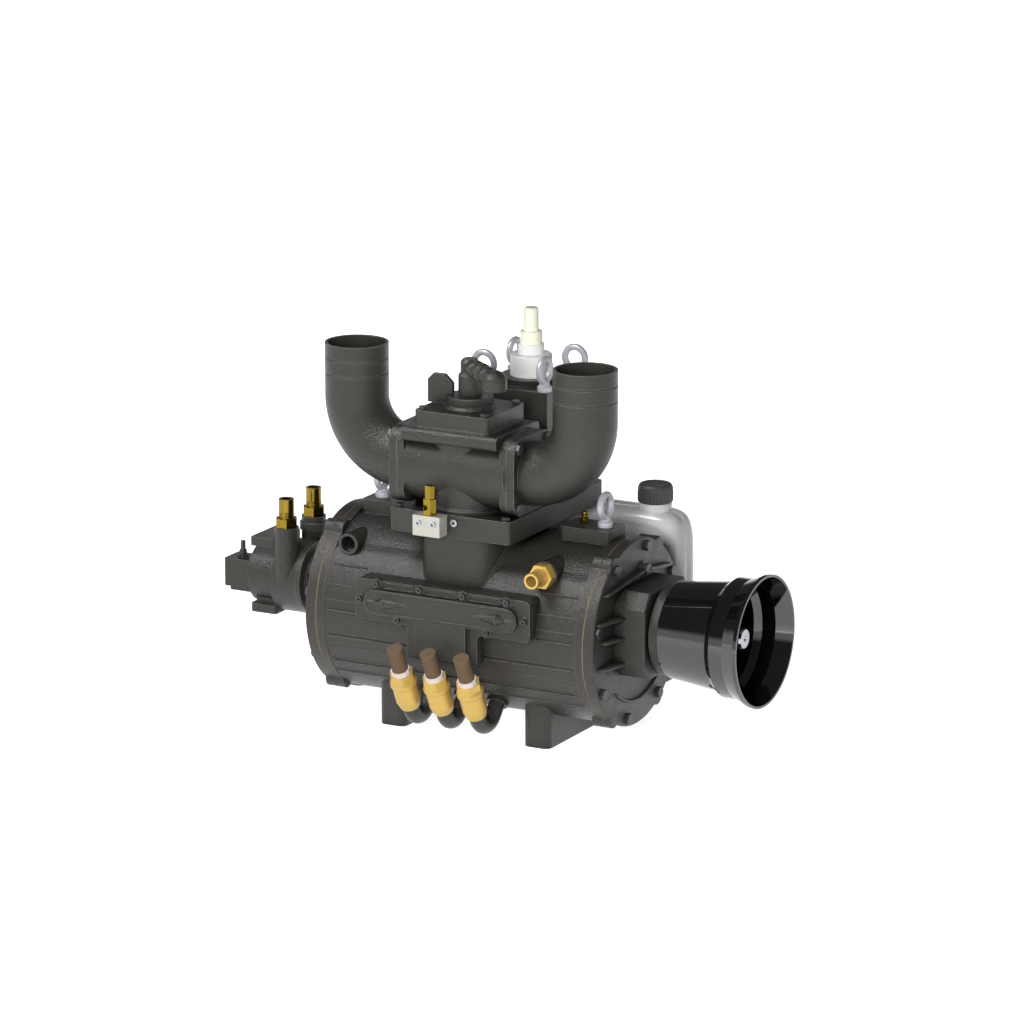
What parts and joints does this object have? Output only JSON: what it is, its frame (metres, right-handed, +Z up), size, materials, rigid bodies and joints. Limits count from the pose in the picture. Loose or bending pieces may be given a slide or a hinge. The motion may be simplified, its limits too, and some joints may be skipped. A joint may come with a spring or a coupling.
{
  "type": "rotary vane vacuum pump",
  "caption": "Rotary vane vacuum pump with a four-way selector valve, hose elbows, splined drive shaft in a bell guard, coolant pump and oil tank.",
  "frame": {"origin": "on the floor, centre of the four foot bolts", "axes": "+X along the shaft towards the drive end, +Y away from the injection side, +Z up"},
  "size_m": [0.972, 0.4808, 0.656],
  "materials": {
    "painted_casting": "dark grey paint on rough cast iron, half gloss",
    "black_bolt": "painted hexagon bolts and screws",
    "steel": "machined steel",
    "zinc": "white zinc-plated steel",
    "gloss_black": "glossy black shell",
    "brass_dark": "dark golden brass, machined",
    "brass_yellow": "bright golden yellow brass, forged",
    "collar_white": "white plastic collar",
    "sintered": "brown sintered bronze",
    "relief_white": "white body",
    "relief_pale": "pale yellow cap",
    "aluminium": "milled aluminium block",
    "tank_white": "pale grey blow-moulded plastic",
    "cap_grey": "dark grey ribbed cap",
    "gasket": "thin orange-brown gasket",
    "rotor_iron": "machined cast iron",
    "vane_resin": "fibre resin vanes"
  },
  "bodies": {
    "root": {"stator_casing": "painted_casting", "drive_end_cover": "painted_casting", "rear_end_cover": "painted_casting", "end_cover_gaskets": "gasket", "end_cover_bolts": "black_bolt", "rotor_bearings": "steel", "shaft_seals": "cap_grey", "guard_ring": "painted_casting", "shaft_guard": "gloss_black", "guard_screws": "black_bolt", "injection_manifold": "painted_casting", "manifold_screws": "black_bolt", "injection_elbows": "painted_casting", "check_valve_bodies": "brass_yellow", "check_valve_collars": "collar_white", "sintered_filters": "sintered", "base_plate": "painted_casting", "base_plate_bolts": "black_bolt", "test_block": "aluminium", "test_block_screws": "steel", "test_fitting": "brass_dark", "socket_plug": "steel", "selector_valve_body": "painted_casting", "elbow_bolts": "black_bolt", "selector_cover": "painted_casting", "selector_cover_bolts": "black_bolt", "left_elbow": "painted_casting", "right_elbow": "painted_casting", "valve_tower": "painted_casting", "relief_valve_body": "relief_white", "relief_valve_cap": "relief_pale", "relief_spring": "steel", "tower_eyebolts": "zinc", "casing_eyebolts": "zinc", "grease_nipples": "brass_dark", "inlet_nozzle": "brass_yellow", "cover_plug": "black_bolt", "oil_tank": "tank_white", "tank_bracket": "painted_casting", "bracket_bolts": "black_bolt", "pump_adapter": "painted_casting", "coolant_pump_casing": "painted_casting", "coolant_pump_cover": "painted_casting", "port_fittings": "brass_dark", "control_box": "painted_casting", "control_nipple": "black_bolt"},
    "rotor_group": {"rotor": "rotor_iron", "rotor_vanes": "vane_resin", "drive_shaft": "steel", "shaft_coupling": "steel", "coolant_impeller": "steel"},
    "selector": {"selector_plug": "rotor_iron", "selector_lever": "painted_casting", "lever_knob": "painted_casting"},
    "relief_piston": {"relief_poppet": "steel"},
    "check_piston_1": {"check_poppet_1": "steel"},
    "check_piston_2": {"check_poppet_2": "steel"},
    "check_piston_3": {"check_poppet_3": "steel"},
    "tank_cap": {"oil_tank_cap": "cap_grey"}
  },
  "joints": [
    {"name": "rotor_spin", "type": "hinge", "parent": "root", "child": "rotor_group", "pos_m": [0, 0, 0.197], "axis": [1, 0, 0], "continuous": true},
    {"name": "selector_turn", "type": "hinge", "parent": "root", "child": "selector", "pos_m": [0, -0.075, 0.6], "axis": [0, 0, 1], "range_deg": [-90, 0]},
    {"name": "relief_lift", "type": "slide", "parent": "root", "child": "relief_piston", "axis": [0, 0, 1], "range_m": [0, 0.006], "deforming": ["relief_spring"]},
    {"name": "tank_cap_lift", "type": "slide", "parent": "root", "child": "tank_cap", "axis": [0, 0, 1], "range_m": [0, 0.04]},
    {"name": "check_lift_1", "type": "slide", "parent": "root", "child": "check_piston_1", "axis": [0, -0.4289, 0.9033], "range_m": [0, 0.008]},
    {"name": "check_lift_2", "type": "slide", "parent": "root", "child": "check_piston_2", "axis": [0, -0.4289, 0.9033], "range_m": [0, 0.008]},
    {"name": "check_lift_3", "type": "slide", "parent": "root", "child": "check_piston_3", "axis": [0, -0.4289, 0.9033], "range_m": [0, 0.008]}
  ]
}
